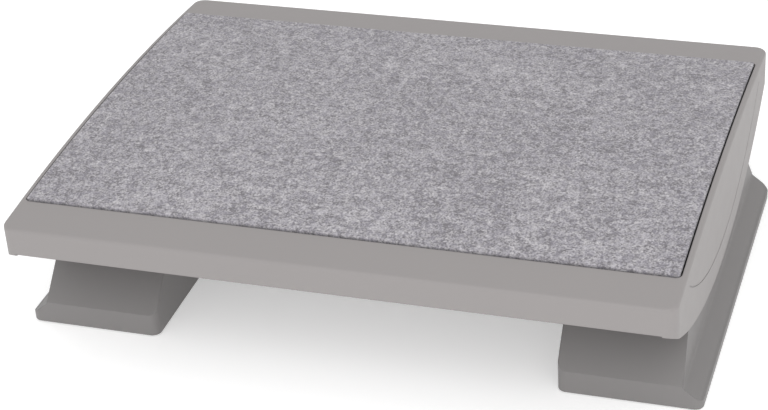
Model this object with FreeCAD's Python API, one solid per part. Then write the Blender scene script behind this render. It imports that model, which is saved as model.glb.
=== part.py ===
import FreeCAD, Part
import math
import os
from FreeCAD import Vector

# Rocking under desk footrest, in millimetres, +Z up, front edge towards -Y.
# The origin is on the floor under the middle of the platform.

# Widths
OVERALL_WIDTH = 470.0
FOOT_OVERHANG = 10.0
SKIRT_RUNNER_GAP = 1.0

# Platform shell
PLATFORM_DEPTH = 350.0
DECK_EDGE_Z = 101.4
DECK_CAMBER = 8.5
DECK_THICKNESS = 2.6
LIP_THICKNESS = 2.6
LIP_BOTTOM_Z = 82.0
CORNER_RADIUS = 9.0
CREASE_RADIUS = 2.4
LIP_END_LENGTH = 9.0

# Side skirts, whose lower edges are arcs
SKIRT_LOW_Z = 33.0
SKIRT_RADIUS = 342.0
SKIRT_THICKNESS = 2.6
SKIRT_GROOVE_RADIUS = 230.0
SKIRT_GROOVE_LOW_Z = 50.5
SKIRT_GROOVE_WIDTH = 0.9
SKIRT_GROOVE_DEPTH = 0.4
SKIRT_GROOVE_HALF_DEG = 36.0

# Ribs under the deck, between the runners
RIB_THICKNESS = 2.0
RIB_BOTTOM_Z = 88.0
RIB_RUNNER_GAP = 8.9
RIB_FIELD_HALF_DEPTH = 124.0
LONG_RIB_COUNT = 4
CROSS_RIB_COUNT = 5

# Felt mat on its backing sheet, in a recess of the deck
RECESS_DEPTH = 3.4
RECESS_HALF_DEPTH = 143.2
RECESS_SIDE_WALL = 3.6
RECESS_CORNER_RADIUS = 4.0
MAT_SIDE_GAP = 1.2
MAT_THICKNESS = 3.0
BACKING_THICKNESS = 0.8
BACKING_INSET = 0.4
SEAT_GAP = 0.3

# Rocking axis and range
ROCK_AXIS_Z = 375.0
ROCK_LIMIT_DEG = 11.0

# Arc rails under the deck, one over each runner
RAIL_RADIUS = 317.0
RAIL_FLANGE_THICKNESS = 4.0
RAIL_FLANGE_WIDTH = 22.4
RAIL_WEB_THICKNESS = 5.0
RAIL_TOP_Z = 94.0
RAIL_TOP_THICKNESS = 4.0
RAIL_TOP_WIDTH = 30.0
RAIL_TOP_HALF_LENGTH = 100.0
RAIL_END_MARGIN_DEG = 0.6
RAIL_WINDOW_RADIUS = 9.0
RAIL_WINDOW_HALF_LENGTH = 16.0
RAIL_WINDOW_PITCH = 58.0
RAIL_WINDOW_Z = 78.0
RAIL_SCREW_Y = 85.0
RAIL_SCREW_OFFSET = 9.0

# Rubber stop buffers at the rail ends
BUFFER_HALF_LENGTH_DEG = 0.75
BUFFER_HEIGHT = 3.2
BUFFER_WIDTH = 7.0
BUFFER_GAP_DEG = 0.08

# Runners
RUNNER_WIDTH = 95.1
RUNNER_LENGTH = 272.0
RUNNER_TOE_HEIGHT = 16.2
RUNNER_SLOPE_DEG = 49.0
RUNNER_TOP_GAP = 3.0
RUNNER_WALL = 3.0
RUNNER_DRAFT_DEG = 3.0
RUNNER_EDGE_RADIUS = 1.5
RUNNER_CORNER_RADIUS = 6.0
FLARE_HEIGHT = 15.0
FLARE_EASE = 2.5
FLARE_RIM_HEIGHT = 6.5
FLARE_RIM_STEP = 1.8
PAD_PROUD = 1.0

# Base plates and floor pads
PLATE_THICKNESS = 2.5
PLATE_CLEARANCE = 0.3
PLATE_CORNER_RADIUS = 4.0
PLATE_SCREW_Y = 92.0
PLATE_SCREW_INSET = 10.0
PLATE_SCREW_SPAN = 62.0
PAD_RADIUS = 9.0
PAD_RECESS_DEPTH = 1.0
PAD_CLEARANCE = 0.15
PAD_Y = 117.0
PAD_INSET = 17.0
PAD_SPAN = 60.0

# Cross rods, rollers and their bushes
STATION_DEG = 11.5
ROD_RADIUS = 4.0
ROD_END_GAP = 1.0
ROD_HOLE_CLEARANCE = 0.05
ROD_BOSS_RADIUS = 8.0
ROD_BOSS_LENGTH = 7.0
ROLLER_RADIUS = 12.0
ROLLER_WIDTH = 20.0
ROLLER_EDGE = 0.8
ROLLER_RUNNING_GAP = 0.3
BUSH_WALL = 1.6
BUSH_RUNNING_GAP = 0.05
BUSH_PROUD = 0.1
WASHER_THICKNESS = 1.2
WASHER_RADIUS = 6.6
WASHER_GAP = 0.3
SADDLE_THICKNESS = 3.0
SADDLE_HALF_LENGTH = 13.0
SADDLE_BELOW_ROD = 12.0
WINDOW_HALF_LENGTH = 11.8
CLIP_THICKNESS = 1.0
CLIP_RADIUS = 5.8
CLIP_GROOVE_DEPTH = 0.6
CLIP_GAP = 0.1
CLIP_MOUTH = 4.4

# Keepers that hook over the rail flange beside each roller
KEEPER_HALF_LENGTH = 8.0
KEEPER_THICKNESS = 3.7
KEEPER_UPRIGHT = 4.0
KEEPER_SIDE_GAP = 0.8
KEEPER_FLANGE_GAP = 0.5
KEEPER_REACH = 6.2
KEEPER_FOOT_WIDTH = 11.0
KEEPER_FOOT_THICKNESS = 3.3
KEEPER_SCREW_BACK = 17.0
KEEPER_SEAT_GAP = 0.2

# Screws
SCREW_RADIUS = 2.0
SCREW_HOLE_CLEARANCE = 0.05
SCREW_HEAD_RADIUS = 3.7
SCREW_HEAD_HEIGHT = 2.5
SCREW_HEAD_GAP = 0.05
SCREW_SOCKET_RADIUS = 1.3
SCREW_SOCKET_DEPTH = 1.3
SCREW_BITE = 8.0
SCREW_TIP_GAP = 1.5
BOSS_RADIUS = 4.2
SUNK_HEAD_HEIGHT = 2.0
SUNK_HEAD_CLEARANCE = 0.1

# Places that follow from the values above
HALF_OVERALL = OVERALL_WIDTH / 2
HALF_WIDTH = HALF_OVERALL - FOOT_OVERHANG
HALF_DEPTH = PLATFORM_DEPTH / 2
HALF_RUNNER = RUNNER_LENGTH / 2
RUNNER_IN_X = HALF_OVERALL - RUNNER_WIDTH
RUNNER_WALL_X = HALF_WIDTH - SKIRT_THICKNESS - SKIRT_RUNNER_GAP
RIB_FIELD_HALF_WIDTH = RUNNER_IN_X - RIB_RUNNER_GAP
RAIL_X = (RUNNER_IN_X + RUNNER_WALL_X) / 2
RUNNER_TOP_RADIUS = RAIL_RADIUS + RUNNER_TOP_GAP
ROD_ORBIT = RAIL_RADIUS + ROLLER_RUNNING_GAP + ROLLER_RADIUS
ROD_HALF_LENGTH = RUNNER_WALL_X - RUNNER_WALL - ROD_END_GAP
SADDLE_IN = ROLLER_WIDTH / 2 + BUSH_PROUD + WASHER_THICKNESS + 2 * WASHER_GAP
PLATE_BOTTOM_Z = PAD_PROUD
PLATE_TOP_Z = PLATE_BOTTOM_Z + PLATE_THICKNESS
RECESS_HALF_WIDTH = HALF_WIDTH - RECESS_SIDE_WALL
KEEPER_HALF_DEG = math.degrees(KEEPER_HALF_LENGTH / RAIL_RADIUS)
STOP_DEG = STATION_DEG + KEEPER_HALF_DEG + ROCK_LIMIT_DEG + BUFFER_GAP_DEG
RAIL_END_DEG = STOP_DEG + 2 * BUFFER_HALF_LENGTH_DEG + RAIL_END_MARGIN_DEG
FAR = 600.0
TOLERANCE = 0.01
HALVINGS = 60
X_AXIS = Vector(1, 0, 0)
Y_AXIS = Vector(0, 1, 0)
Z_AXIS = Vector(0, 0, 1)
ENDS = {"front": -1, "rear": 1}


class Via(tuple):
    """A point that an arc passes through on its way to the next corner."""


def side_view(y, z):
    return Vector(0, y, z)


def front_view(x, z):
    return Vector(x, 0, z)


def outline_face(stops, view):
    """Flat face from corners and arc points, closed back to the first corner."""
    edges = []
    start = view(*stops[0])
    via = None
    for stop in list(stops[1:]) + [stops[0]]:
        point = view(*stop)
        if isinstance(stop, Via):
            via = point
            continue
        if via is None:
            edges.append(Part.LineSegment(start, point).toShape())
        else:
            edges.append(Part.Arc(start, via, point).toShape())
        start = point
        via = None
    return Part.Face(Part.Wire(edges))


def prism(stops, view, start, end):
    """Outline drawn in one view and drawn out between two places along that view."""
    axis = {side_view: X_AXIS, front_view: Y_AXIS}[view]
    face = outline_face(stops, view)
    face.translate(axis * start)
    return face.extrude(axis * (end - start))


def box(x0, x1, y0, y1, z0, z1):
    return Part.makeBox(x1 - x0, y1 - y0, z1 - z0, Vector(x0, y0, z0))


def rod_along_x(radius, x0, x1, y, z):
    return Part.makeCylinder(radius, x1 - x0, Vector(x0, y, z), X_AXIS)


def post(radius, x, y, z0, z1):
    return Part.makeCylinder(radius, z1 - z0, Vector(x, y, z0), Z_AXIS)


def joined(shapes):
    return shapes[0].multiFuse(shapes[1:]).removeSplitter()


def group(shapes):
    return Part.makeCompound(shapes)


def mirrored(shape):
    return shape.mirror(Vector(0, 0, 0), X_AXIS)


def on_arc(radius, degrees):
    """Point at a radius from the rocking axis, at an angle from straight down."""
    angle = math.radians(degrees)
    return radius * math.sin(angle), ROCK_AXIS_Z - radius * math.cos(angle)


def outward(degrees):
    """Direction away from the rocking axis."""
    angle = math.radians(degrees)
    return Vector(0, math.sin(angle), -math.cos(angle))


def arc_block(r_in, r_out, deg0, deg1, x0, x1):
    """Block bent about the rocking axis."""
    middle = (deg0 + deg1) / 2
    stops = [on_arc(r_in, deg0), Via(on_arc(r_in, middle)), on_arc(r_in, deg1),
             on_arc(r_out, deg1), Via(on_arc(r_out, middle)), on_arc(r_out, deg0)]
    return prism(stops, side_view, x0, x1)


def radial_pin(radius, r_from, r_to, degrees, x):
    """Cylinder that points away from the rocking axis."""
    y, z = on_arc(r_from, degrees)
    return Part.makeCylinder(radius, r_to - r_from, Vector(x, y, z), outward(degrees))


def rounded_rectangle(x0, x1, y0, y1, radius, z0, z1):
    block = box(x0, x1, y0, y1, z0, z1)
    upright = [e for e in block.Edges if abs(e.tangentAt(e.FirstParameter).z) > 1 - TOLERANCE]
    return block.makeFillet(radius, upright)


# Platform

def camber_z(y, drop):
    """Height of the deck's curved top, or of a curve that lies a drop below it."""
    half = (HALF_DEPTH ** 2 + DECK_CAMBER ** 2) / (2 * DECK_CAMBER)
    centre = DECK_EDGE_Z + DECK_CAMBER - half
    return centre + math.sqrt((half - drop) ** 2 - y ** 2)


def under_camber(drop, half_depth, bottom_z, x0, x1):
    """Block whose top follows the deck's curve."""
    stops = [(-half_depth, bottom_z), (-half_depth, camber_z(half_depth, drop)),
             Via((0, camber_z(0, drop))), (half_depth, camber_z(half_depth, drop)),
             (half_depth, bottom_z)]
    return prism(stops, side_view, x0, x1)


def crease_edges(solid):
    """Outline of the deck's top face."""
    top = max(solid.Faces, key=lambda face: face.CenterOfMass.z)
    return top.OuterWire.Edges


def platform_plan(inset_x, inset_y, top_z):
    """Upright block with the platform's rounded corners."""
    return rounded_rectangle(-HALF_WIDTH + inset_x, HALF_WIDTH - inset_x, -HALF_DEPTH + inset_y,
                             HALF_DEPTH - inset_y, CORNER_RADIUS - inset_y, 0, top_z)


def platform_hull():
    end_z = SKIRT_LOW_Z + SKIRT_RADIUS - math.sqrt(SKIRT_RADIUS ** 2 - HALF_DEPTH ** 2)
    stops = [(-HALF_DEPTH, end_z), (-HALF_DEPTH, DECK_EDGE_Z),
             Via((0, DECK_EDGE_Z + DECK_CAMBER)), (HALF_DEPTH, DECK_EDGE_Z),
             (HALF_DEPTH, end_z), Via((0, SKIRT_LOW_Z))]
    hull = prism(stops, side_view, -HALF_OVERALL, HALF_OVERALL)
    hull = hull.common(platform_plan(0, 0, FAR))
    return hull.makeFillet(CREASE_RADIUS, crease_edges(hull))


def platform_hollow():
    drop = RECESS_DEPTH + DECK_THICKNESS
    room = under_camber(drop, HALF_DEPTH, 0, -HALF_OVERALL, HALF_OVERALL)
    return room.common(platform_plan(SKIRT_THICKNESS, LIP_THICKNESS, FAR))


def lip_trim():
    """What is taken off under the lips, between the ends of the skirts."""
    half = HALF_WIDTH - LIP_END_LENGTH
    cuts = [box(-half, half, side * HALF_DEPTH - 2 * LIP_THICKNESS,
                side * HALF_DEPTH + 2 * LIP_THICKNESS, 0, LIP_BOTTOM_Z) for side in (-1, 1)]
    return joined(cuts)


def mat_recess():
    plan = rounded_rectangle(-RECESS_HALF_WIDTH, RECESS_HALF_WIDTH, -RECESS_HALF_DEPTH,
                             RECESS_HALF_DEPTH, RECESS_CORNER_RADIUS, 0, FAR)
    return plan.cut(under_camber(RECESS_DEPTH, HALF_DEPTH, -FAR / 2, -HALF_WIDTH, HALF_WIDTH))


def skirt_grooves():
    """Fine arc line on the outside of each skirt."""
    centre_z = SKIRT_GROOVE_LOW_Z + SKIRT_GROOVE_RADIUS
    outer = Part.makeCylinder(SKIRT_GROOVE_RADIUS + SKIRT_GROOVE_WIDTH, 2 * FAR,
                              Vector(-FAR, 0, centre_z), X_AXIS)
    inner = Part.makeCylinder(SKIRT_GROOVE_RADIUS, 2 * FAR, Vector(-FAR, 0, centre_z), X_AXIS)
    half = SKIRT_GROOVE_RADIUS * math.sin(math.radians(SKIRT_GROOVE_HALF_DEG))
    reach = box(-FAR / 2, FAR / 2, -half, half, 0, DECK_EDGE_Z)
    middle_x = HALF_WIDTH - SKIRT_GROOVE_DEPTH
    return outer.cut(inner).common(reach).cut(box(-middle_x, middle_x, -half, half, 0, FAR))


def spread(count, half):
    """Evenly spaced places from one side to the other."""
    return [-half + 2 * half * i / (count - 1) for i in range(count)]


def deck_ribs():
    drop = RECESS_DEPTH + DECK_THICKNESS / 2
    half_rib = RIB_THICKNESS / 2
    width = RIB_FIELD_HALF_WIDTH
    depth = RIB_FIELD_HALF_DEPTH
    ribs = [under_camber(drop, depth, RIB_BOTTOM_Z, x - half_rib, x + half_rib)
            for x in spread(LONG_RIB_COUNT, width)]
    for y in spread(CROSS_RIB_COUNT, depth):
        slab = under_camber(drop, HALF_DEPTH, RIB_BOTTOM_Z, -width, width)
        ribs.append(slab.common(box(-width, width, y - half_rib, y + half_rib, 0, FAR)))
    return ribs


def rail_screw_places():
    return [(RAIL_X + sx * RAIL_SCREW_OFFSET, sy * RAIL_SCREW_Y)
            for sx in (-1, 1) for sy in (-1, 1)]


def deck_bosses():
    """Posts that the rails are screwed to, above each runner."""
    drop = RECESS_DEPTH + DECK_THICKNESS / 2
    ceiling = under_camber(drop, HALF_DEPTH, 0, -HALF_WIDTH, HALF_WIDTH)
    bosses = []
    for x, y in rail_screw_places():
        boss = post(BOSS_RADIUS, x, y, RAIL_TOP_Z, DECK_EDGE_Z + DECK_CAMBER).common(ceiling)
        bosses += [boss, mirrored(boss)]
    return bosses


def rail_screw_top_z():
    return RAIL_TOP_Z + SCREW_BITE - SCREW_TIP_GAP


def make_platform_shell():
    shell = platform_hull().cut(platform_hollow()).cut(lip_trim())
    shell = shell.cut(mat_recess()).cut(skirt_grooves())
    shell = joined([shell] + deck_ribs() + deck_bosses())
    for x, y in rail_screw_places():
        hole = post(SCREW_RADIUS + SCREW_HOLE_CLEARANCE, x, y, 0,
                    camber_z(y, RECESS_DEPTH + DECK_THICKNESS))
        shell = shell.cut(hole).cut(mirrored(hole))
    return shell


def mat_layer(bottom_drop, thickness, gap):
    """Curved sheet in the recess, with a gap to the recess's sides."""
    plan = rounded_rectangle(-RECESS_HALF_WIDTH + gap, RECESS_HALF_WIDTH - gap,
                             -RECESS_HALF_DEPTH + gap, RECESS_HALF_DEPTH - gap,
                             RECESS_CORNER_RADIUS, 0, FAR)
    top = under_camber(bottom_drop - thickness, HALF_DEPTH, 0, -HALF_WIDTH, HALF_WIDTH)
    bottom = under_camber(bottom_drop, HALF_DEPTH, -FAR, -HALF_WIDTH, HALF_WIDTH)
    return plan.common(top).cut(bottom)


def make_mat_backing():
    return mat_layer(RECESS_DEPTH - SEAT_GAP, BACKING_THICKNESS, MAT_SIDE_GAP - BACKING_INSET)


def make_felt_mat():
    drop = RECESS_DEPTH - SEAT_GAP - BACKING_THICKNESS - SEAT_GAP
    return mat_layer(drop, MAT_THICKNESS, MAT_SIDE_GAP)


# Arc rails

def web_windows():
    """Rounded openings that lighten the rail's web."""
    cuts = []
    for place in (-1, 0, 1):
        y = place * RAIL_WINDOW_PITCH
        z = RAIL_WINDOW_Z
        block = box(RAIL_X - RAIL_TOP_WIDTH, RAIL_X + RAIL_TOP_WIDTH,
                    y - RAIL_WINDOW_HALF_LENGTH, y + RAIL_WINDOW_HALF_LENGTH,
                    z - RAIL_WINDOW_RADIUS, z + RAIL_WINDOW_RADIUS)
        ends = [rod_along_x(RAIL_WINDOW_RADIUS, RAIL_X - RAIL_TOP_WIDTH, RAIL_X + RAIL_TOP_WIDTH,
                            y + side * RAIL_WINDOW_HALF_LENGTH, z) for side in (-1, 1)]
        cuts.append(joined([block] + ends))
    return cuts


def make_arc_rail():
    flange = arc_block(RAIL_RADIUS - RAIL_FLANGE_THICKNESS, RAIL_RADIUS, -RAIL_END_DEG,
                       RAIL_END_DEG, RAIL_X - RAIL_FLANGE_WIDTH / 2,
                       RAIL_X + RAIL_FLANGE_WIDTH / 2)
    end_y, end_z = on_arc(RAIL_RADIUS - RAIL_FLANGE_THICKNESS / 2, RAIL_END_DEG)
    web = prism([(-end_y, end_z), (-end_y, RAIL_TOP_Z), (end_y, RAIL_TOP_Z), (end_y, end_z),
                 Via((0, ROCK_AXIS_Z - RAIL_RADIUS + RAIL_FLANGE_THICKNESS / 2))],
                side_view, RAIL_X - RAIL_WEB_THICKNESS / 2, RAIL_X + RAIL_WEB_THICKNESS / 2)
    top = box(RAIL_X - RAIL_TOP_WIDTH / 2, RAIL_X + RAIL_TOP_WIDTH / 2, -RAIL_TOP_HALF_LENGTH,
              RAIL_TOP_HALF_LENGTH, RAIL_TOP_Z - RAIL_TOP_THICKNESS, RAIL_TOP_Z)
    for cut in web_windows():
        web = web.cut(cut)
    rail = joined([flange, web, top])
    for x, y in rail_screw_places():
        rail = rail.cut(post(SCREW_RADIUS + SCREW_HOLE_CLEARANCE, x, y, 0, RAIL_TOP_Z))
    return rail


def make_rail_screws():
    """Pan-head screws, driven upwards into the deck's posts."""
    head_z = RAIL_TOP_Z - RAIL_TOP_THICKNESS
    screws = []
    for x, y in rail_screw_places():
        shank = post(SCREW_RADIUS, x, y, head_z - SCREW_HEAD_HEIGHT / 2, rail_screw_top_z())
        head = post(SCREW_HEAD_RADIUS, x, y, head_z - SCREW_HEAD_HEIGHT, head_z)
        socket = post(SCREW_SOCKET_RADIUS, x, y, head_z - SCREW_HEAD_HEIGHT,
                      head_z - SCREW_HEAD_HEIGHT + SCREW_SOCKET_DEPTH)
        screw = joined([shank, head]).cut(socket)
        screws += [screw, mirrored(screw)]
    return group(screws)


def make_stop_buffers():
    """Rubber blocks on the rail flange, both sides of the web, at both ends."""
    buffers = []
    top = RAIL_RADIUS - RAIL_FLANGE_THICKNESS - SEAT_GAP
    inner = RAIL_WEB_THICKNESS / 2 + SEAT_GAP
    for end in ENDS.values():
        near = end * STOP_DEG
        far = end * (STOP_DEG + 2 * BUFFER_HALF_LENGTH_DEG)
        for side in (-1, 1):
            x0, x1 = sorted((RAIL_X + side * inner, RAIL_X + side * (inner + BUFFER_WIDTH)))
            block = arc_block(top - BUFFER_HEIGHT, top, min(near, far), max(near, far), x0, x1)
            buffers += [block, mirrored(block)]
    return group(buffers)


# Runners

def slope_y(z, inset):
    """Sloping end face of a runner."""
    slope = math.radians(RUNNER_SLOPE_DEG)
    return (HALF_RUNNER - (z - PAD_PROUD - RUNNER_TOE_HEIGHT) / math.tan(slope)
            - inset / math.sin(slope))


def slope_meets_top(inset):
    """Height where the end face reaches the hollow top of a runner."""
    radius = RUNNER_TOP_RADIUS + inset
    low, high = PAD_PROUD, ROCK_AXIS_Z - radius + HALF_RUNNER
    for _ in range(HALVINGS):
        z = (low + high) / 2
        inside = math.hypot(slope_y(z, inset), ROCK_AXIS_Z - z) > radius
        low, high = (z, high) if inside else (low, z)
    return z


def wall_x(z, inset):
    """Outer wall of a runner, which leans in towards its top."""
    lean = math.tan(math.radians(RUNNER_DRAFT_DEG))
    return RUNNER_WALL_X - (z - SKIRT_LOW_Z) * lean - inset


def eased(corner, before, after, radius):
    """Arc that rounds off a corner of an outline."""
    back = (Vector(*before) - Vector(*corner)).normalize()
    on = (Vector(*after) - Vector(*corner)).normalize()
    half = back.getAngle(on) / 2
    middle = (back + on).normalize()
    reach = radius / math.tan(half)
    start = Vector(*corner) + back * reach
    via = Vector(*corner) + middle * (radius / math.sin(half) - radius)
    end = Vector(*corner) + on * reach
    return [(start.x, start.y), Via((via.x, via.y)), (end.x, end.y)]


def runner_side(inset, bottom_z):
    """Side view of a runner, with a hollow arc for its top and sloping ends."""
    toe_y = HALF_RUNNER - inset
    slope = math.radians(RUNNER_SLOPE_DEG)
    toe_z = PAD_PROUD + RUNNER_TOE_HEIGHT + inset * (1 - 1 / math.sin(slope)) * math.tan(slope)
    top_z = slope_meets_top(inset)
    top_y = slope_y(top_z, inset)
    stops = [(-toe_y, bottom_z), (-toe_y, toe_z), (-top_y, top_z),
             Via((0, ROCK_AXIS_Z - RUNNER_TOP_RADIUS - inset)), (top_y, top_z),
             (toe_y, toe_z), (toe_y, bottom_z)]
    return prism(stops, side_view, RUNNER_IN_X + inset, HALF_OVERALL - inset)


def runner_front(inset, bottom_z):
    """Front view of a runner, with a drafted outer wall that flares out to its foot."""
    inner_x = RUNNER_IN_X + inset
    rim_x = HALF_OVERALL - inset
    shoulder = (rim_x - FLARE_RIM_STEP, PAD_PROUD + FLARE_RIM_HEIGHT - inset / 2)
    foot_z = PAD_PROUD + FLARE_HEIGHT - inset
    foot = (wall_x(foot_z, inset), foot_z)
    top = (wall_x(DECK_EDGE_Z, inset), DECK_EDGE_Z)
    stops = [(inner_x, bottom_z), (rim_x, bottom_z), (rim_x, shoulder[1] - FLARE_RIM_STEP / 2),
             shoulder] + eased(foot, shoulder, top, FLARE_EASE + inset) + [top, (inner_x, top[1])]
    return prism(stops, front_view, -HALF_RUNNER, HALF_RUNNER)


def runner_plan(inset):
    """Upright block with a runner's rounded corners."""
    return rounded_rectangle(RUNNER_IN_X + inset, HALF_OVERALL - inset, -HALF_RUNNER + inset,
                             HALF_RUNNER - inset, RUNNER_CORNER_RADIUS - inset, -FAR, FAR)


def end_edges(block):
    """Edges down the inner side of the end faces and of the toes."""
    found = []
    for edge in block.Edges:
        level = abs(edge.Vertexes[0].Z - edge.Vertexes[-1].Z) < TOLERANCE
        at_side = all(abs(vertex.X - RUNNER_IN_X) < TOLERANCE for vertex in edge.Vertexes)
        if at_side and not level and edge.Curve.TypeId == "Part::GeomLine":
            found.append(edge)
    return found


def runner_block():
    block = runner_side(0, PAD_PROUD).common(runner_front(0, PAD_PROUD))
    block = block.makeFillet(RUNNER_EDGE_RADIUS, end_edges(block))
    return block.common(runner_plan(0))


def runner_hollow():
    hollow = runner_side(RUNNER_WALL, -FAR).common(runner_front(RUNNER_WALL, -FAR))
    return hollow.common(runner_plan(RUNNER_WALL))


def plate_screw_places():
    x0 = RUNNER_IN_X + PLATE_SCREW_INSET
    return [(x, y) for x in (x0, x0 + PLATE_SCREW_SPAN) for y in (-PLATE_SCREW_Y, 0, PLATE_SCREW_Y)]


def pad_places():
    x0 = RUNNER_IN_X + PAD_INSET
    return [(x, y) for x in (x0, x0 + PAD_SPAN) for y in (-PAD_Y, PAD_Y)]


def keeper_screw_places():
    back = math.degrees(KEEPER_SCREW_BACK / RAIL_RADIUS)
    offset = keeper_outer() + KEEPER_FOOT_WIDTH / 2
    return [(RAIL_X + side * offset, end * (STATION_DEG - back))
            for side in (-1, 1) for end in ENDS.values()]


def keeper_inner():
    return RAIL_FLANGE_WIDTH / 2 + KEEPER_SIDE_GAP


def keeper_outer():
    return keeper_inner() + KEEPER_UPRIGHT


def runner_bosses(block):
    """Posts for the base plate's screws, the keepers' screws and the cross rods."""
    bosses = [post(BOSS_RADIUS, x, y, PLATE_TOP_Z, FAR) for x, y in plate_screw_places()]
    for x, degrees in keeper_screw_places():
        bosses.append(radial_pin(BOSS_RADIUS, RUNNER_TOP_RADIUS,
                                 RUNNER_TOP_RADIUS + SCREW_BITE + SCREW_TIP_GAP, degrees, x))
    for end in ENDS.values():
        y, z = on_arc(ROD_ORBIT, end * STATION_DEG)
        inner_x = RUNNER_IN_X + RUNNER_WALL
        outer_x = RUNNER_WALL_X - RUNNER_WALL
        bosses.append(rod_along_x(ROD_BOSS_RADIUS, inner_x, inner_x + ROD_BOSS_LENGTH, y, z))
        bosses.append(rod_along_x(ROD_BOSS_RADIUS, outer_x - ROD_BOSS_LENGTH, outer_x, y, z))
        for side in (-1, 1):
            near = RAIL_X + side * SADDLE_IN
            far = RAIL_X + side * (SADDLE_IN + SADDLE_THICKNESS)
            bosses.append(box(min(near, far), max(near, far), y - SADDLE_HALF_LENGTH,
                              y + SADDLE_HALF_LENGTH, z - SADDLE_BELOW_ROD, FAR))
    return [boss.common(block) for boss in bosses]


def make_runner_shell():
    block = runner_block()
    shell = joined([block.cut(runner_hollow())] + runner_bosses(block))
    cuts = []
    for x, y in plate_screw_places():
        cuts.append(post(SCREW_RADIUS + SCREW_HOLE_CLEARANCE, x, y, 0,
                         PLATE_TOP_Z + SCREW_BITE + SCREW_TIP_GAP))
    for x, degrees in keeper_screw_places():
        cuts.append(radial_pin(SCREW_RADIUS + SCREW_HOLE_CLEARANCE, RUNNER_TOP_RADIUS - RUNNER_WALL,
                               RUNNER_TOP_RADIUS + SCREW_BITE, degrees, x))
    window_deg = math.degrees(WINDOW_HALF_LENGTH / RUNNER_TOP_RADIUS)
    for end in ENDS.values():
        y, z = on_arc(ROD_ORBIT, end * STATION_DEG)
        cuts.append(rod_along_x(ROD_RADIUS + ROD_HOLE_CLEARANCE, 0, RUNNER_WALL_X - RUNNER_WALL, y, z))
        cuts.append(arc_block(RUNNER_TOP_RADIUS - RUNNER_WALL, RUNNER_TOP_RADIUS + 2 * RUNNER_WALL,
                              end * STATION_DEG - window_deg, end * STATION_DEG + window_deg,
                              RAIL_X - SADDLE_IN, RAIL_X + SADDLE_IN))
    for cut in cuts:
        shell = shell.cut(cut)
    return shell


def sunk_screw(x, y, clearance):
    """Countersunk screw whose head lies flush with the base plate's underside."""
    head = Part.makeCone(SCREW_HEAD_RADIUS + clearance, SCREW_RADIUS + clearance, SUNK_HEAD_HEIGHT,
                         Vector(x, y, PLATE_BOTTOM_Z), Z_AXIS)
    return joined([head, post(SCREW_RADIUS + clearance, x, y, PLATE_BOTTOM_Z, PLATE_TOP_Z + SCREW_BITE)])


def make_base_plate():
    inset = RUNNER_WALL + PLATE_CLEARANCE
    plate = rounded_rectangle(RUNNER_IN_X + inset, HALF_OVERALL - inset, -HALF_RUNNER + inset,
                              HALF_RUNNER - inset, PLATE_CORNER_RADIUS, PLATE_BOTTOM_Z, PLATE_TOP_Z)
    for x, y in plate_screw_places():
        plate = plate.cut(sunk_screw(x, y, SUNK_HEAD_CLEARANCE))
    for x, y in pad_places():
        plate = plate.cut(post(PAD_RADIUS + PAD_CLEARANCE, x, y, 0, PLATE_BOTTOM_Z + PAD_RECESS_DEPTH))
    return plate


def make_plate_screws():
    screws = []
    for x, y in plate_screw_places():
        socket = post(SCREW_SOCKET_RADIUS, x, y, PLATE_BOTTOM_Z, PLATE_BOTTOM_Z + SCREW_SOCKET_DEPTH)
        screw = sunk_screw(x, y, 0).cut(socket)
        screws += [screw, mirrored(screw)]
    return group(screws)


def make_floor_pads():
    pads = []
    for x, y in pad_places():
        pads.append(post(PAD_RADIUS, x, y, 0, PLATE_BOTTOM_Z + PAD_RECESS_DEPTH))
    return pads


# Rods, rollers and keepers

def clip_places():
    """Inner side of each clip, beside the rod's bosses."""
    inner = RUNNER_IN_X + RUNNER_WALL + ROD_BOSS_LENGTH + CLIP_GAP
    outer = RUNNER_WALL_X - RUNNER_WALL - ROD_BOSS_LENGTH - CLIP_GAP - CLIP_THICKNESS
    return [inner, outer]


def make_cross_rod(end):
    y, z = on_arc(ROD_ORBIT, end * STATION_DEG)
    rod = rod_along_x(ROD_RADIUS, -ROD_HALF_LENGTH, ROD_HALF_LENGTH, y, z)
    rims = [e for e in rod.Edges if e.Curve.TypeId == "Part::GeomCircle"]
    rod = rod.makeChamfer(CLIP_GROOVE_DEPTH, rims)
    for x in clip_places():
        x0, x1 = x - CLIP_GAP, x + CLIP_THICKNESS + CLIP_GAP
        ring = rod_along_x(2 * ROD_RADIUS, x0, x1, y, z)
        ring = ring.cut(rod_along_x(ROD_RADIUS - CLIP_GROOVE_DEPTH, x0, x1, y, z))
        rod = rod.cut(ring).cut(mirrored(ring))
    return rod


def make_rod_clips():
    """Open spring rings that sit in the rods' grooves."""
    clips = []
    bore = ROD_RADIUS - CLIP_GROOVE_DEPTH + CLIP_GAP
    for end in ENDS.values():
        y, z = on_arc(ROD_ORBIT, end * STATION_DEG)
        for x in clip_places():
            ring = rod_along_x(CLIP_RADIUS, x, x + CLIP_THICKNESS, y, z)
            ring = ring.cut(rod_along_x(bore, x, x + CLIP_THICKNESS, y, z))
            mouth = box(x, x + CLIP_THICKNESS, y - CLIP_MOUTH / 2, y + CLIP_MOUTH / 2,
                        z - 2 * CLIP_RADIUS, z)
            clip = ring.cut(mouth)
            clips += [clip, mirrored(clip)]
    return group(clips)


def bush_radius():
    return ROD_RADIUS + BUSH_RUNNING_GAP + BUSH_WALL


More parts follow.
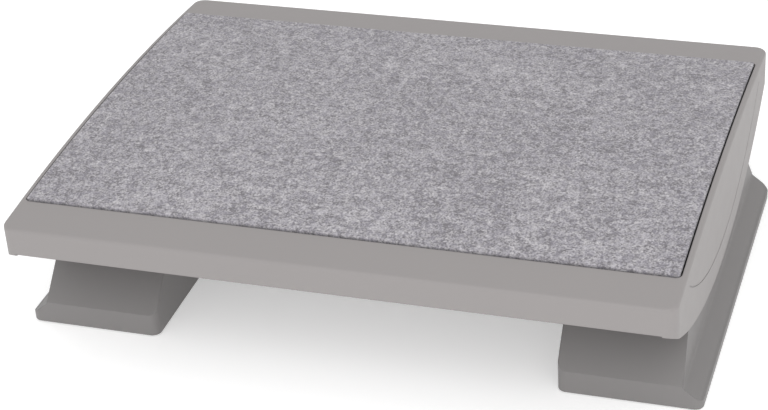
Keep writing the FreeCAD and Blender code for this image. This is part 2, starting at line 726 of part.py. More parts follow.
def make_roller(side, end):
    y, z = on_arc(ROD_ORBIT, end * STATION_DEG)
    x = side * RAIL_X
    roller = rod_along_x(ROLLER_RADIUS, x - ROLLER_WIDTH / 2, x + ROLLER_WIDTH / 2, y, z)
    rims = [e for e in roller.Edges if e.Curve.TypeId == "Part::GeomCircle"]
    roller = roller.makeChamfer(ROLLER_EDGE, rims)
    return roller.cut(rod_along_x(bush_radius(), x - ROLLER_WIDTH, x + ROLLER_WIDTH, y, z))


def make_bush(side, end):
    y, z = on_arc(ROD_ORBIT, end * STATION_DEG)
    half = ROLLER_WIDTH / 2 + BUSH_PROUD
    x = side * RAIL_X
    sleeve = rod_along_x(bush_radius(), x - half, x + half, y, z)
    return sleeve.cut(rod_along_x(ROD_RADIUS + BUSH_RUNNING_GAP, x - half, x + half, y, z))


def make_roller_washers():
    washers = []
    for end in ENDS.values():
        y, z = on_arc(ROD_ORBIT, end * STATION_DEG)
        for side in (-1, 1):
            near = ROLLER_WIDTH / 2 + BUSH_PROUD + WASHER_GAP
            x0, x1 = sorted((RAIL_X + side * near, RAIL_X + side * (near + WASHER_THICKNESS)))
            washer = rod_along_x(WASHER_RADIUS, x0, x1, y, z)
            washer = washer.cut(rod_along_x(ROD_RADIUS + ROD_HOLE_CLEARANCE, x0, x1, y, z))
            washers += [washer, mirrored(washer)]
    return group(washers)


def make_keeper(side, end):
    """Hook that stands beside the rail and reaches over its flange."""
    middle = end * STATION_DEG
    foot_deg = math.degrees((KEEPER_SCREW_BACK + KEEPER_FOOT_WIDTH / 2) / RAIL_RADIUS)
    lip_out = RAIL_RADIUS - RAIL_FLANGE_THICKNESS - KEEPER_FLANGE_GAP
    seat = RUNNER_TOP_RADIUS - KEEPER_SEAT_GAP
    ends = sorted((middle - end * foot_deg, middle + end * KEEPER_HALF_DEG))

    def part_of(r_in, r_out, deg0, deg1, near, far):
        x0, x1 = sorted((RAIL_X + side * near, RAIL_X + side * far))
        return arc_block(r_in, r_out, deg0, deg1, x0, x1)

    upright = part_of(lip_out - KEEPER_THICKNESS, seat, middle - KEEPER_HALF_DEG,
                      middle + KEEPER_HALF_DEG, keeper_inner(), keeper_outer())
    hook = part_of(lip_out - KEEPER_THICKNESS, lip_out, middle - KEEPER_HALF_DEG,
                   middle + KEEPER_HALF_DEG, keeper_inner() - KEEPER_REACH, keeper_outer())
    foot = part_of(seat - KEEPER_FOOT_THICKNESS, seat, ends[0], ends[1],
                   keeper_inner(), keeper_outer() + KEEPER_FOOT_WIDTH)
    keeper = joined([upright, hook, foot])
    for x, degrees in keeper_screw_places():
        keeper = keeper.cut(radial_pin(SCREW_RADIUS + SCREW_HOLE_CLEARANCE, seat - 2 * KEEPER_THICKNESS,
                                       seat + KEEPER_THICKNESS, degrees, x))
    return keeper


def make_keepers():
    return [make_keeper(side, end) for side in (-1, 1) for end in ENDS.values()]


def make_keeper_screws():
    screws = []
    head_r = RUNNER_TOP_RADIUS - KEEPER_SEAT_GAP - KEEPER_FOOT_THICKNESS - SCREW_HEAD_GAP
    for x, degrees in keeper_screw_places():
        shank = radial_pin(SCREW_RADIUS, head_r - SCREW_HEAD_HEIGHT / 2,
                           RUNNER_TOP_RADIUS + SCREW_BITE - SCREW_TIP_GAP, degrees, x)
        head = radial_pin(SCREW_HEAD_RADIUS, head_r - SCREW_HEAD_HEIGHT, head_r, degrees, x)
        socket = radial_pin(SCREW_SOCKET_RADIUS, head_r - SCREW_HEAD_HEIGHT,
                            head_r - SCREW_HEAD_HEIGHT + SCREW_SOCKET_DEPTH, degrees, x)
        screw = joined([shank, head]).cut(socket)
        screws += [screw, mirrored(screw)]
    return group(screws)


def all_nodes():
    """Every sub-part, by the name of its node."""
    nodes = {
        "platform_shell": make_platform_shell(),
        "mat_backing": make_mat_backing(),
        "felt_mat": make_felt_mat(),
        "rail_screws": make_rail_screws(),
        "stop_buffers": make_stop_buffers(),
        "base_plate_screws": make_plate_screws(),
        "rod_clips": make_rod_clips(),
        "roller_washers": make_roller_washers(),
        "keeper_screws": make_keeper_screws(),
    }
    right = {
        "arc_rail": make_arc_rail(),
        "runner_shell": make_runner_shell(),
        "base_plate": make_base_plate(),
        "floor_pads": group(make_floor_pads()),
        "keepers": group(make_keepers()),
    }
    for name, shape in right.items():
        nodes["right_" + name] = shape
        nodes["left_" + name] = mirrored(shape)
    for end_name, end in ENDS.items():
        nodes[end_name + "_cross_rod"] = make_cross_rod(end)
        for side_name, side in (("left", -1), ("right", 1)):
            nodes[end_name + "_" + side_name + "_roller"] = make_roller(side, end)
            nodes[end_name + "_" + side_name + "_bush"] = make_bush(side, end)
    return nodes


def write_nodes():
    os.makedirs("parts", exist_ok=True)
    for name, shape in all_nodes().items():
        size = shape.BoundBox
        print(name, "valid" if shape.isValid() else "NOT VALID", len(shape.Solids), "solids",
              "x %.2f %.2f y %.2f %.2f z %.2f %.2f" % (size.XMin, size.XMax, size.YMin, size.YMax,
                                                       size.ZMin, size.ZMax))
        shape.exportStep("parts/" + name + ".step")


write_nodes()
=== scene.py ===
"""Looks of a rocking footrest: grey mouldings, a needle felt mat and the parts beneath."""
import math

import bmesh
import bpy
from bpy.props import FloatProperty, FloatVectorProperty, PointerProperty
from mathutils import Matrix, Vector


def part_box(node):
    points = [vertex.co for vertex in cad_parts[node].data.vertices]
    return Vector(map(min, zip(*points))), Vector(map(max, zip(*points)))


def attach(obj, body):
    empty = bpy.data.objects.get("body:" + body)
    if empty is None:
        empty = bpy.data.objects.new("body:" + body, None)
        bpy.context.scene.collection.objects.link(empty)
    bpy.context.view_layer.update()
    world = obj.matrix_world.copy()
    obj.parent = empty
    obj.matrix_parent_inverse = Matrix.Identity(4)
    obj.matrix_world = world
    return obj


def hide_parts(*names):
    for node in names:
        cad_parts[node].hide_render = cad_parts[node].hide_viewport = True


bl_info = {
    "name": "Rocking Footrest",
    "version": (1, 0, 0),
    "blender": (4, 5, 0),
    "location": "View3D > Sidebar > Footrest",
    "description": "Dresses the frame of a rocking under desk footrest",
    "category": "Object",
}

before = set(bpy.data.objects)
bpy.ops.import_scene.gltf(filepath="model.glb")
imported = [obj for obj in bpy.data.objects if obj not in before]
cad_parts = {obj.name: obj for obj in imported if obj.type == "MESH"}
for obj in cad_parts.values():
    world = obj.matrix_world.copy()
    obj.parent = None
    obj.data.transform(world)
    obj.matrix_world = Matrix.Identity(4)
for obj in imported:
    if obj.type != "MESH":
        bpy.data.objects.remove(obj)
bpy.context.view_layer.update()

MM = 0.001
SIDES = ("left", "right")
ENDS = ("front", "rear")

MAT_LOW, MAT_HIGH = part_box("felt_mat")
BACKING_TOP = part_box("mat_backing")[1][2]
FELT_LIFT = 0.3 * MM  # left free between the felt and its backing
MERGE_DISTANCE = 0.01 * MM
CUT_EDGE_SEGMENTS = 3
CUT_EDGE_ANGLE = math.radians(50)
SMOOTH_ANGLE = math.radians(60)
EDGE_SAMPLES = 6
FIBRE_DIRECTIONS = 5
FIBRE_TURN = 0.66  # radians from one direction to the next
SENSOR_WIDTH = 36.0

# Colours of the parts that the photo doesn't show, and of the stage
RUBBER = (0.014, 0.014, 0.015)
RUBBER_BLOOM = (0.04, 0.039, 0.037)
PLATE_DARK = (0.075, 0.073, 0.070)
PLATE_PALE = (0.135, 0.131, 0.126)
BLACK_NYLON = (0.028, 0.028, 0.030)
GLASS_FLECK = (0.105, 0.103, 0.1)
WORN_NYLON = (0.06, 0.058, 0.056)
ROLLER_DARK = (0.70, 0.68, 0.61)
ROLLER_PALE = (0.80, 0.785, 0.73)
ROLLER_DIRT = (0.36, 0.35, 0.32)
BRASS = (0.78, 0.60, 0.28)
BRASS_STAIN = (0.42, 0.29, 0.13)
ZINC_COOL = (0.60, 0.61, 0.63)
ZINC_WARM = (0.69, 0.68, 0.65)
ZINC_DULL = (0.42, 0.415, 0.41)
PAPER_DARK = (0.84, 0.84, 0.84)
PAPER_PALE = (0.86, 0.86, 0.86)
WHITE = (1.0, 1.0, 1.0)


# Settings

class FootrestPlastic(bpy.types.PropertyGroup):
    colour: FloatVectorProperty(
        name="Plastic colour", description="Warm light grey of the mouldings",
        subtype="COLOR", size=3, min=0, max=1, default=(0.284, 0.267, 0.264))
    # The runners' colour is the platform's grey made darker: painted shade for the shadow the deck
    # casts on the runners.
    runner_shaded_colour: FloatVectorProperty(
        name="Runner shaded colour", description="Darker warm grey of the runners",
        subtype="COLOR", size=3, min=0, max=1, default=(0.208, 0.199, 0.197))
    grain: FloatProperty(
        name="Grain size", description="Size of the moulded surface's fine grain",
        subtype="DISTANCE", default=0.45 * MM)
    edge: FloatProperty(
        name="Edge rounding", description="Rounding of the mouldings' edges",
        subtype="DISTANCE", default=0.9 * MM)


class FootrestFelt(bpy.types.PropertyGroup):
    dark: FloatVectorProperty(
        name="Dark fibre", description="Colour of the felt's dark fibres",
        subtype="COLOR", size=3, min=0, max=1, default=(0.185, 0.175, 0.19))
    light: FloatVectorProperty(
        name="Light fibre", description="Colour of the felt's light fibres",
        subtype="COLOR", size=3, min=0, max=1, default=(0.70, 0.68, 0.70))
    mauve: FloatVectorProperty(
        name="Mauve fibre", description="Colour of the felt's few mauve fibres",
        subtype="COLOR", size=3, min=0, max=1, default=(0.34, 0.325, 0.385))
    cell: FloatProperty(
        name="Mesh cell", description="Side of one face of the felt's mesh",
        subtype="DISTANCE", default=2.2 * MM)
    relief: FloatProperty(
        name="Fibre relief", description="How far the fibres rise and fall",
        subtype="DISTANCE", default=0.45 * MM)
    edge: FloatProperty(
        name="Cut edge", description="Rounding of the felt's cut edge",
        subtype="DISTANCE", default=0.7 * MM)


class FootrestStage(bpy.types.PropertyGroup):
    yaw: FloatProperty(
        name="Camera yaw", description="Turn of the camera to the right of the front",
        subtype="ANGLE", default=math.radians(19.73))
    pitch: FloatProperty(
        name="Camera pitch", description="How far the camera looks down",
        subtype="ANGLE", default=math.radians(31.27))
    roll: FloatProperty(
        name="Camera roll", description="Lean of the camera about its line of sight",
        subtype="ANGLE", default=math.radians(-4.09))
    distance: FloatProperty(
        name="Camera distance", description="From the camera to the point it looks at",
        subtype="DISTANCE", default=1.5658)
    target: FloatVectorProperty(
        name="Camera target", description="Point on the floor that the camera looks at",
        subtype="TRANSLATION", size=3, default=(-0.04055, 0.06284, 0.0))
    lens: FloatProperty(
        name="Lens", description="Focal length on a 36 mm wide sensor",
        default=97.99)
    sky: FloatProperty(
        name="Surround light", description="Strength of the light from all round",
        default=0.90)
    key: FloatProperty(
        name="Softbox", description="Power of the large light in front",
        subtype="POWER", default=10.0)
    key_place: FloatVectorProperty(
        name="Softbox place", description="Middle of the large light",
        subtype="TRANSLATION", size=3, default=(0.35, -1.2, 1.3))
    key_size: FloatVectorProperty(
        name="Softbox size", description="Width and height of the large light",
        subtype="XYZ", unit="LENGTH", size=2, default=(1.6, 1.2))
    floor_glow: FloatProperty(
        name="Floor glow", description="Light that the floor gives off to lift its shadow",
        default=0.36)
    floor_side: FloatProperty(
        name="Floor side", description="Side of the square floor",
        subtype="DISTANCE", default=8.0)


# Shader arithmetic

class Signal:
    """One output of a shader node, which takes part in sums and products."""

    def __init__(self, shade, socket):
        self.shade = shade
        self.socket = socket

    def math(self, operation, *others):
        return self.shade.node("ShaderNodeMath", {"operation": operation},
                               dict(enumerate((self,) + others)))

    def __add__(self, other):
        return self.math("ADD", other)

    def __sub__(self, other):
        return self.math("SUBTRACT", other)

    def __rsub__(self, other):
        return (self * -1) + other

    def __mul__(self, other):
        return self.math("MULTIPLY", other)

    __radd__ = __add__
    __rmul__ = __mul__

    def over(self, low, high):
        """Ramp from 0 at the low value to 1 at the high one."""
        return self.shade.node("ShaderNodeMapRange",
                               {"clamp": True, "interpolation_type": "SMOOTHSTEP"},
                               {"Value": self, "From Min": low, "From Max": high}, "Result")


class Shade:
    """A material's node tree, built as values."""

    def __init__(self, name):
        self.material = bpy.data.materials.new(name)
        self.material.use_nodes = True
        self.tree = self.material.node_tree
        self.tree.nodes.clear()
        self.place = self.node("ShaderNodeTexCoord", {}, {}, "Object")

    def feed(self, socket, value):
        if isinstance(value, Signal):
            self.tree.links.new(value.socket, socket)
        elif socket.type == "RGBA":
            socket.default_value = (*value, 1.0)
        else:
            socket.default_value = value

    def node(self, kind, settings, inputs, output=0):
        """Any node: its settings first, then its sockets by name or number."""
        node = self.tree.nodes.new(kind)
        for name, value in settings.items():
            if name == "stops":
                self.set_stops(node.color_ramp, value)
            else:
                setattr(node, name, value)
        for name, value in inputs.items():
            self.feed(node.inputs[name], value)
        return Signal(self, node.outputs[output]) if node.outputs else None

    @staticmethod
    def set_stops(ramp, stops):
        while len(ramp.elements) < len(stops):
            ramp.elements.new(1.0)
        for element, (position, colour) in zip(ramp.elements, stops):
            element.position = position
            element.color = (*colour, 1.0)

    def drawn_out(self, stretch, turn=(0.0, 0.0, 0.0), offset=(0.0, 0.0, 0.0)):
        """Place in a frame that is turned, then drawn out along its own axes."""
        return self.node("ShaderNodeMapping", {"vector_type": "TEXTURE"},
                         {"Vector": self.place, "Scale": stretch, "Rotation": turn,
                          "Location": offset}, "Vector")

    def noise(self, size, detail=2.0, roughness=0.5, vector=None, distortion=0.0):
        return self.node("ShaderNodeTexNoise", {},
                         {"Vector": vector or self.place, "Scale": 1.0 / size, "Detail": detail,
                          "Roughness": roughness, "Distortion": distortion}, "Fac")

    def cells(self, size, output="Distance"):
        return self.node("ShaderNodeTexVoronoi", {"feature": "F1"},
                         {"Vector": self.place, "Scale": 1.0 / size}, output)

    def mix(self, factor, first, second, blend="MIX"):
        return self.node("ShaderNodeMix", {"data_type": "RGBA", "blend_type": blend},
                         {0: factor, 6: first, 7: second}, 2)

    def ramp(self, factor, stops):
        return self.node("ShaderNodeValToRGB", {"stops": stops}, {"Fac": factor}, "Color")

    def bump(self, height, depth, strength=1.0, under=None):
        inputs = {"Height": height, "Distance": depth, "Strength": strength}
        if under is not None:
            inputs["Normal"] = under
        return self.node("ShaderNodeBump", {}, inputs, "Normal")

    def soft_edges(self, radius):
        """Normal that rounds the edges of what it is put on."""
        return self.node("ShaderNodeBevel", {"samples": EDGE_SAMPLES}, {"Radius": radius}, "Normal")

    def finish(self, colour, roughness, normal=None, metallic=0.0, **constants):
        """Joins everything to one principled surface; the constants sit on its own sockets."""
        inputs = {"Base Color": colour, "Roughness": roughness, "Metallic": metallic}
        if normal is not None:
            inputs["Normal"] = normal
        for name, value in constants.items():
            inputs[name.replace("_", " ")] = value
        surface = self.node("ShaderNodeBsdfPrincipled", {}, inputs)
        self.node("ShaderNodeOutputMaterial", {}, {"Surface": surface})
        return self.material


def tinted(colour, amount):
    return tuple(min(1.0, channel * amount) for channel in colour)


# Finishes

def platform_grey():
    return moulded_plastic("platform_grey_plastic", bpy.context.scene.footrest_plastic.colour)


# Same moulded plastic as the platform in a darker colour, which paints the shade that falls on the
# runners under the deck.
def runner_shaded_grey():
    return moulded_plastic("runner_grey_plastic", bpy.context.scene.footrest_plastic.runner_shaded_colour)


def moulded_plastic(name, colour):
    """Matt plastic with a fine spark-eroded grain and the faint flow of a large moulding."""
    settings = bpy.context.scene.footrest_plastic
    base = tuple(colour)
    shade = Shade(name)
    grain = shade.noise(settings.grain, 3.0, 0.6)
    pits = shade.cells(settings.grain * 2.2).over(0.15, 0.75)
    flow = shade.noise(90 * MM, 2.0, 0.5, shade.drawn_out((1.0, 2.2, 1.0)), 0.4)
    cloud = shade.noise(14 * MM, 3.0, 0.55)
    strokes = shade.drawn_out((40.0, 1.0, 1.6), (0.0, 0.0, 0.35))
    scuffs = shade.noise(1.0 * MM, 2.0, 0.5, strokes).over(0.735, 0.78) * cloud.over(0.52, 0.62)
    tone = (flow - 0.5) * 0.10 + (cloud - 0.5) * 0.05 + (grain - 0.5) * 0.07
    colour = shade.mix(tone + 0.5, tinted(base, 0.86), tinted(base, 1.14))
    colour = shade.mix(scuffs * 0.25, colour, tinted(base, 1.25))
    roughness = (grain - 0.5) * 0.12 + (cloud - 0.5) * 0.10 + 0.52 - scuffs * 0.1
    waves = shade.bump(flow, 0.6 * MM, 0.25, shade.soft_edges(settings.edge))
    normal = shade.bump(grain * 0.6 + pits * 0.4, 0.05 * MM, 0.55, waves)
    return shade.finish(colour, roughness, normal, Specular_IOR_Level=0.42, IOR=1.49)


def needle_felt():
    """Pressed needle felt: dark and light fibres that cross every way, with tufts and needle holes
    whose pits are painted darker as shade.
    """
    settings = bpy.context.scene.footrest_felt
    dark, light = tuple(settings.dark), tuple(settings.light)
    shade = Shade("needle_felt")
    tuft = shade.noise(7 * MM, 2.0, 0.5, None, 0.6)
    clump = shade.noise(2.4 * MM, 2.0, 0.6, None, 0.6)
    speck = shade.noise(1.3 * MM, 1.0, 0.5)
    drift = shade.noise(70 * MM, 2.0, 0.5)
    fibres = None
    for index in range(FIBRE_DIRECTIONS):
        run = shade.drawn_out((5.0, 1.0, 1.0), (0.0, 0.0, index * FIBRE_TURN + 0.2),
                              (0.037 * index, 0.011, 0.0))
        strand = shade.noise(1.0 * MM, 1.0, 0.5, run, 0.4)
        fibres = strand if fibres is None else fibres.math("MAXIMUM", strand)
    shaded_prick_pits = shade.cells(1.7 * MM).over(0.05, 0.32)
    tone = ((tuft - 0.5) * 0.5 + (clump - 0.5) * 0.74 + (speck - 0.5) * 0.76
            + (fibres - 0.66) * 0.5 + (drift - 0.5) * 0.16 + 0.45)
    middle = tuple(0.45 * a + 0.55 * b for a, b in zip(dark, light))
    grey = shade.ramp(tone, [(0.0, tinted(dark, 0.75)), (0.3, dark), (0.62, middle),
                             (1.0, light)])
    elsewhere = shade.drawn_out((1.0, 1.0, 1.0), offset=(2.0, 5.0, 0.0))
    patches = shade.noise(3.4 * MM, 1.0, 0.5, elsewhere)
    colour = shade.mix(patches.over(0.42, 0.6) * 0.25, grey, tuple(settings.mauve))
    # The prick pits are darkened: painted shade in the needle holes.
    colour = shade.mix((1 - shaded_prick_pits) * 0.25, colour, tinted(dark, 0.7))
    height = tuft * 0.35 + clump * 0.45 + fibres * 0.55 + shaded_prick_pits * 0.2
    normal = shade.bump(height, settings.relief, 0.5)
    return shade.finish(colour, (speck - 0.5) * 0.1 + 0.93, normal, Sheen_Weight=0.18,
                        Sheen_Roughness=0.5, Specular_IOR_Level=0.2)


def black_rubber():
    """Soft black rubber with a dusty bloom and a cast grain."""
    shade = Shade("black_rubber")
    grain = shade.noise(0.5 * MM, 3.0, 0.6)
    bloom = shade.noise(9 * MM, 4.0, 0.6)
    colour = shade.mix(bloom.over(0.4, 0.75) * 0.7, RUBBER, RUBBER_BLOOM)
    normal = shade.bump(grain, 0.06 * MM, 0.6)
    return shade.finish(colour, bloom * 0.15 + 0.68, normal, Specular_IOR_Level=0.35)


def dark_plastic():
    """Dark grey plate with a coarse moulded texture."""
    shade = Shade("dark_plate_plastic")
    grain = shade.noise(0.8 * MM, 3.0, 0.65)
    leather = shade.cells(1.6 * MM).over(0.1, 0.6)
    cloud = shade.noise(30 * MM, 3.0, 0.5)
    colour = shade.mix((grain - 0.5) * 0.5 + cloud * 0.5, PLATE_DARK, PLATE_PALE)
    normal = shade.bump(grain * 0.4 + leather * 0.6, 0.10 * MM, 0.6)
    return shade.finish(colour, cloud * 0.14 + 0.5, normal, Specular_IOR_Level=0.4)


def filled_nylon():
    """Black glass-filled nylon: pale short fibres near the skin and a satin wear track."""
    shade = Shade("filled_nylon")
    grain = shade.noise(0.6 * MM, 3.0, 0.6)
    strand = shade.noise(0.5 * MM, 1.0, 0.5, shade.drawn_out((1.0, 6.0, 1.4), (0.3, 0.0, 0.2)))
    flecks = strand.over(0.66, 0.74)
    flow = shade.noise(22 * MM, 3.0, 0.6, shade.drawn_out((1.0, 2.5, 1.0)), 0.5)
    colour = shade.mix(flecks * 0.5, BLACK_NYLON, GLASS_FLECK)
    colour = shade.mix(flow.over(0.45, 0.75) * 0.35, colour, WORN_NYLON)
    normal = shade.bump(grain * 0.7 + flecks * 0.3, 0.05 * MM, 0.6)
    return shade.finish(colour, flow * 0.2 + 0.36, normal, Specular_IOR_Level=0.45)


def turned_rings(shade, size):
    """Fine lathe lines across a part that was turned about a line along X."""
    across = shade.node("ShaderNodeSeparateXYZ", {}, {"Vector": shade.place}, "X")
    wander = shade.noise(5 * MM, 2.0)
    return ((across + wander * (0.25 * size)) * (2 * math.pi / size)).math("SINE") * 0.5 + 0.5


def roller_nylon():
    """Natural nylon with lathe lines and a grey running track."""
    shade = Shade("roller_nylon")
    rings = turned_rings(shade, 0.45 * MM)
    haze = shade.noise(4 * MM, 3.0, 0.6)
    dirt = shade.noise(1.6 * MM, 4.0, 0.65).over(0.5, 0.75)
    colour = shade.mix(haze, ROLLER_DARK, ROLLER_PALE)
    colour = shade.mix(dirt * 0.35, colour, ROLLER_DIRT)
    normal = shade.bump(rings * 0.5 + haze * 0.2, 0.025 * MM, 0.7)
    return shade.finish(colour, dirt * 0.2 + 0.34, normal, Specular_IOR_Level=0.5,
                        Subsurface_Weight=0.05)


def bush_brass():
    """Turned brass, slightly browned."""
    shade = Shade("bush_brass")
    rings = turned_rings(shade, 0.3 * MM)
    stain = shade.noise(2.5 * MM, 4.0, 0.6).over(0.45, 0.8)
    colour = shade.mix(stain * 0.6, BRASS, BRASS_STAIN)
    normal = shade.bump(rings, 0.015 * MM, 0.6)
    return shade.finish(colour, stain * 0.22 + rings * 0.05 + 0.24, normal, 1.0)


def zinc_steel():
    """Bright zinc plating with fine drawing lines, a faint blue cast and dull spots."""
    shade = Shade("zinc_steel")
    drawn = shade.noise(0.35 * MM, 3.0, 0.6, shade.drawn_out((30.0, 1.0, 1.0)))
    cloud = shade.noise(7 * MM, 4.0, 0.6)
    spangle = shade.cells(2.4 * MM, "Color")
    tint = shade.mix(cloud, ZINC_COOL, ZINC_WARM)
    colour = shade.mix(0.06, tint, spangle, "OVERLAY")
    colour = shade.mix(cloud.over(0.55, 0.8) * 0.4, colour, ZINC_DULL)
    normal = shade.bump(drawn, 0.02 * MM, 0.6)
    return shade.finish(colour, drawn * 0.14 + cloud * 0.16 + 0.2, normal, 1.0)


def studio_floor():
    """White paper floor that glows a little, so that its shadows stay pale."""
    glow = bpy.context.scene.footrest_stage.floor_glow
    shade = Shade("studio_floor")
    paper = shade.noise(3 * MM, 3.0, 0.6)
    wash = shade.noise(0.9, 2.0, 0.5)
    colour = shade.mix(wash, PAPER_DARK, PAPER_PALE)
    normal = shade.bump(paper, 0.05 * MM, 0.2)
    return shade.finish(colour, paper * 0.06 + 0.8, normal, Specular_IOR_Level=0.2,
                        Emission_Color=WHITE, Emission_Strength=glow)


FINISHES = {}


def finish_of(maker):
    """Each finish is made once."""
    if maker not in FINISHES:
        FINISHES[maker] = maker()
    return FINISHES[maker]


# Mesh work

def select_only(piece):
    bpy.ops.object.select_all(action="DESELECT")
    piece.select_set(True)
    bpy.context.view_layer.objects.active = piece


def wear(piece, maker):
    """Puts one finish on all of a piece."""
    piece.data.materials.clear()
    piece.data.materials.append(finish_of(maker))


def dress(node, maker):
    """Gives a node of the frame its finish."""
    node_object = bpy.data.objects[node]
    for material_slot in node_object.material_slots:
        material_slot.material = finish_of(maker)


def apply_modifiers(piece):
    select_only(piece)
    for modifier in list(piece.modifiers):
        bpy.ops.object.modifier_apply(modifier=modifier.name)


class FOOTREST_OT_platform(bpy.types.Operator):
    """Platform shell of grained grey plastic"""
    bl_idname = "footrest.platform"
    bl_label = "Platform shell"

    def execute(self, context):
        dress("platform_shell", platform_grey)
        return {"FINISHED"}


class FOOTREST_OT_runners(bpy.types.Operator):
    """Left and right runner shells"""
    bl_idname = "footrest.runners"
    bl_label = "Runner shells"

    def execute(self, context):
        for side in SIDES:
            dress(side + "_runner_shell", runner_shaded_grey)
        return {"FINISHED"}


class FOOTREST_OT_base_plates(bpy.types.Operator):
    """Plates that close the runners from below"""
    bl_idname = "footrest.base_plates"
    bl_label = "Base plates"

    def execute(self, context):
        for side in SIDES:
            dress(side + "_base_plate", dark_plastic)
        return {"FINISHED"}


def camber():
    """Centre height and radius of the arc through the felt's top, from its box."""
    half = (MAT_HIGH[1] - MAT_LOW[1]) / 2
    rise = BACKING_TOP - MAT_LOW[2]
    radius = (half ** 2 + rise ** 2) / (2 * rise)
    return MAT_HIGH[2] - radius, radius


class FOOTREST_OT_felt_mat(bpy.types.Operator):
    """Felt mat, spun along the deck's curve"""
    bl_idname = "footrest.felt_mat"
    bl_label = "Felt mat"

    def execute(self, context):
        settings = context.scene.footrest_felt
        centre_z, radius = camber()
        width = MAT_HIGH[0] - MAT_LOW[0]
        half = (MAT_HIGH[1] - MAT_LOW[1]) / 2
        sweep = 2 * math.asin(half / radius)
        front_z = centre_z + math.sqrt(radius ** 2 - half ** 2)
        bpy.ops.object.select_all(action="DESELECT")
        bpy.ops.mesh.primitive_grid_add(x_subdivisions=round(width / settings.cell),
                                        y_subdivisions=1, size=width,
                                        location=(0, width / 2 - half, front_z))
        mat = context.active_object
        mat.name = "felt_mat_cover"
        bpy.ops.object.transform_apply(location=True, rotation=True, scale=True)
        bpy.ops.object.mode_set(mode="EDIT")
        bpy.ops.mesh.select_all(action="DESELECT")
        cage = bmesh.from_edit_mesh(mat.data)
        for vertex in cage.verts:
            vertex.select = vertex.co.y > width / 2 - half
        bmesh.update_edit_mesh(mat.data)
        bpy.ops.mesh.delete(type="VERT")
        bpy.ops.mesh.select_all(action="SELECT")
        bpy.ops.mesh.spin(steps=round(sweep * radius / settings.cell), angle=sweep,
                          center=(0, 0, centre_z), axis=(1, 0, 0))
        bpy.ops.mesh.select_all(action="SELECT")
        bpy.ops.mesh.remove_doubles(threshold=MERGE_DISTANCE)
        bpy.ops.mesh.normals_make_consistent(inside=False)
        bpy.ops.object.mode_set(mode="OBJECT")
        if mat.data.polygons[0].normal.z < 0:
            bpy.ops.object.mode_set(mode="EDIT")
            bpy.ops.mesh.flip_normals()
            bpy.ops.object.mode_set(mode="OBJECT")
        solid = mat.modifiers.new("thickness", "SOLIDIFY")
        solid.thickness = MAT_HIGH[2] - BACKING_TOP - FELT_LIFT
        solid.offset = -1.0
        rounding = mat.modifiers.new("cut edge", "BEVEL")
        rounding.width = settings.edge
        rounding.segments = CUT_EDGE_SEGMENTS
        rounding.limit_method = "ANGLE"
        rounding.angle_limit = CUT_EDGE_ANGLE
        apply_modifiers(mat)
        bpy.ops.object.shade_smooth_by_angle(angle=SMOOTH_ANGLE)
        wear(mat, needle_felt)
        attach(mat, "platform")
        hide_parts("felt_mat")
        sweep * radius
        return {"FINISHED"}


class FOOTREST_OT_rubber_parts(bpy.types.Operator):
    """Mat backing, stop buffers and floor pads"""
    bl_idname = "footrest.rubber_parts"
    bl_label = "Rubber parts"

    def execute(self, context):
        for node in ("mat_backing", "stop_buffers", "left_floor_pads", "right_floor_pads"):
            dress(node, black_rubber)
        return {"FINISHED"}


class FOOTREST_OT_rails(bpy.types.Operator):
    """Arc rails and the keepers that hold them down"""
    bl_idname = "footrest.rails"
    bl_label = "Rails and keepers"

    def execute(self, context):
        for side in SIDES:
            dress(side + "_arc_rail", filled_nylon)
            dress(side + "_keepers", filled_nylon)
        return {"FINISHED"}


class FOOTREST_OT_rollers(bpy.types.Operator):
    """Four nylon rollers on their brass bushes"""
    bl_idname = "footrest.rollers"
    bl_label = "Rollers and bushes"

    def execute(self, context):
        for end in ENDS:
            for side in SIDES:
                dress(end + "_" + side + "_roller", roller_nylon)
                dress(end + "_" + side + "_bush", bush_brass)
        return {"FINISHED"}


class FOOTREST_OT_steel_parts(bpy.types.Operator):
    """Cross rods, screws, clips and washers"""
    bl_idname = "footrest.steel_parts"
    bl_label = "Steel parts"

    def execute(self, context):
        for node in ("rail_screws", "base_plate_screws", "keeper_screws", "rod_clips",
                     "roller_washers", "front_cross_rod", "rear_cross_rod"):
            dress(node, zinc_steel)
        return {"FINISHED"}


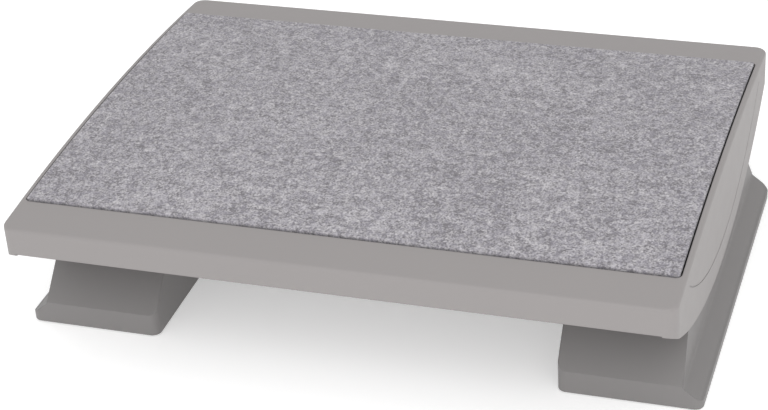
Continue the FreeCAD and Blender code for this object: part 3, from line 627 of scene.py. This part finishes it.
class FOOTREST_OT_stage(bpy.types.Operator):
    """Pale floor, soft light all round and the camera"""
    bl_idname = "footrest.stage"
    bl_label = "Stage"

    def execute(self, context):
        settings = context.scene.footrest_stage
        self.lay_floor(context, settings.floor_side)
        self.light_up(context, settings)
        self.set_camera(context, settings)
        return {"FINISHED"}

    @staticmethod
    def lay_floor(context, side):
        bpy.ops.object.select_all(action="DESELECT")
        bpy.ops.mesh.primitive_plane_add(size=side, location=(0, 0, 0))
        floor = context.active_object
        floor.name = "studio_floor"
        floor.data.materials.append(finish_of(studio_floor))

    @staticmethod
    def light_up(context, settings):
        world = bpy.data.worlds.new("studio_surround")
        world.use_nodes = True
        background = world.node_tree.nodes["Background"]
        background.inputs["Color"].default_value = (*WHITE, 1.0)
        background.inputs["Strength"].default_value = settings.sky
        context.scene.world = world
        context.scene.view_settings.view_transform = "Standard"
        lamp = bpy.data.lights.new("softbox", "AREA")
        lamp.shape = "RECTANGLE"
        lamp.size, lamp.size_y = settings.key_size
        lamp.energy = settings.key
        softbox = bpy.data.objects.new("softbox", lamp)
        softbox.location = settings.key_place
        softbox.rotation_euler = Vector(settings.key_place).to_track_quat("Z", "Y").to_euler()
        context.scene.collection.objects.link(softbox)

    @staticmethod
    def set_camera(context, settings):
        back = Vector((math.sin(settings.yaw) * math.cos(settings.pitch),
                       -math.cos(settings.yaw) * math.cos(settings.pitch),
                       math.sin(settings.pitch)))
        level = (-back).cross(Vector((0, 0, 1))).normalized()
        upright = level.cross(-back)
        right = level * math.cos(settings.roll) + upright * math.sin(settings.roll)
        up = upright * math.cos(settings.roll) - level * math.sin(settings.roll)
        place = Vector(settings.target) + back * settings.distance
        data = bpy.data.cameras.new("photo_camera")
        data.lens = settings.lens
        data.sensor_width = SENSOR_WIDTH
        data.sensor_fit = "HORIZONTAL"
        camera = bpy.data.objects.new("photo_camera", data)
        turn = Matrix((right, up, back)).transposed().to_4x4()
        camera.matrix_world = Matrix.Translation(place) @ turn
        context.scene.collection.objects.link(camera)
        context.scene.camera = camera


class FOOTREST_PT_panel(bpy.types.Panel):
    bl_idname = "FOOTREST_PT_panel"
    bl_label = "Footrest"
    bl_space_type = "VIEW_3D"
    bl_region_type = "UI"
    bl_category = "Footrest"

    def draw(self, context):
        for operator in OPERATORS:
            self.layout.operator(operator.bl_idname)
        for group in (context.scene.footrest_plastic, context.scene.footrest_felt,
                      context.scene.footrest_stage):
            for name in group.__annotations__:
                self.layout.prop(group, name)


OPERATORS = (FOOTREST_OT_stage, FOOTREST_OT_platform, FOOTREST_OT_runners,
             FOOTREST_OT_base_plates, FOOTREST_OT_felt_mat, FOOTREST_OT_rubber_parts,
             FOOTREST_OT_rails, FOOTREST_OT_rollers, FOOTREST_OT_steel_parts)
GROUPS = {"footrest_plastic": FootrestPlastic, "footrest_felt": FootrestFelt,
          "footrest_stage": FootrestStage}


def register():
    for group in GROUPS.values():
        bpy.utils.register_class(group)
    for operator in OPERATORS:
        bpy.utils.register_class(operator)
    bpy.utils.register_class(FOOTREST_PT_panel)
    for name, group in GROUPS.items():
        setattr(bpy.types.Scene, name, PointerProperty(type=group))


def unregister():
    for name in GROUPS:
        delattr(bpy.types.Scene, name)
    bpy.utils.unregister_class(FOOTREST_PT_panel)
    for operator in reversed(OPERATORS):
        bpy.utils.unregister_class(operator)
    for group in reversed(list(GROUPS.values())):
        bpy.utils.unregister_class(group)


def main():
    register()
    for operator in OPERATORS:
        group, name = operator.bl_idname.split(".")
        getattr(getattr(bpy.ops, group), name)()


if __name__ == "__main__":
    main()
